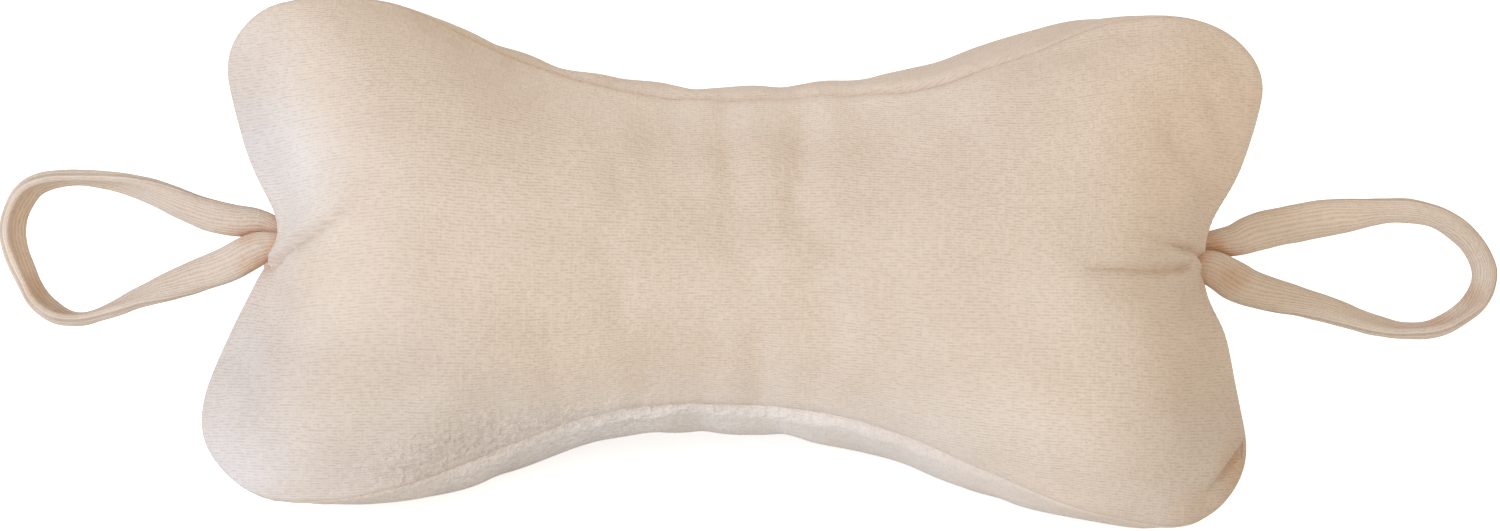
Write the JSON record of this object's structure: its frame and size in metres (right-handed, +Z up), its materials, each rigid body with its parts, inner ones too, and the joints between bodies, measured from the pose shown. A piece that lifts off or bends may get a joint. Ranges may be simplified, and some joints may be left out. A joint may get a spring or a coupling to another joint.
{
  "type": "bone shaped neck pillow",
  "caption": "Bone-shaped travel neck pillow: velour panels sewn round a soft filling, lobed at both ends, with a fabric loop that swings at each end.",
  "frame": {"origin": "under the pillow's centre, on the flat surface it rests on, with bottom_panel down and the ridge seam on top", "axes": "+X along the pillow from the left loop to the right loop, +Z up, -Y towards front_panel's side"},
  "size_m": [0.5646, 0.1787, 0.1742],
  "materials": {
    "velour": "beige knit velour, short soft pile",
    "thread": "matching matt sewing thread",
    "fibre": "white loose fibre"
  },
  "bodies": {
    "pillow": {"front_panel": "velour", "rear_panel": "velour", "bottom_panel": "velour", "filling": "fibre", "ridge_seam_thread": "thread", "front_seam_thread": "thread", "rear_seam_thread_left": "thread", "rear_seam_thread_right": "thread", "closing_stitch": "thread", "left_loop_ends": "velour", "right_loop_ends": "velour"},
    "left_root": {"left_loop_root": "velour"},
    "left_loop": {"left_loop": "velour", "left_loop_seam_thread": "thread"},
    "right_root": {"right_loop_root": "velour"},
    "right_loop": {"right_loop": "velour", "right_loop_seam_thread": "thread"}
  },
  "joints": [
    {"name": "left_loop_lift", "type": "hinge", "parent": "pillow", "child": "left_root", "pos_m": [-0.1775, 0, 0.071], "axis": [0, 0.866, -0.5], "range_deg": [-15, 15]},
    {"name": "left_loop_swing", "type": "hinge", "parent": "left_root", "child": "left_loop", "pos_m": [-0.1775, 0, 0.071], "axis": [0, -0.5, -0.866], "range_deg": [-45, 85]},
    {"name": "right_loop_lift", "type": "hinge", "parent": "pillow", "child": "right_root", "pos_m": [0.1775, 0, 0.071], "axis": [0, -0.866, 0.5], "range_deg": [-15, 15]},
    {"name": "right_loop_swing", "type": "hinge", "parent": "right_root", "child": "right_loop", "pos_m": [0.1775, 0, 0.071], "axis": [0, 0.5, 0.866], "range_deg": [-45, 85]}
  ]
}
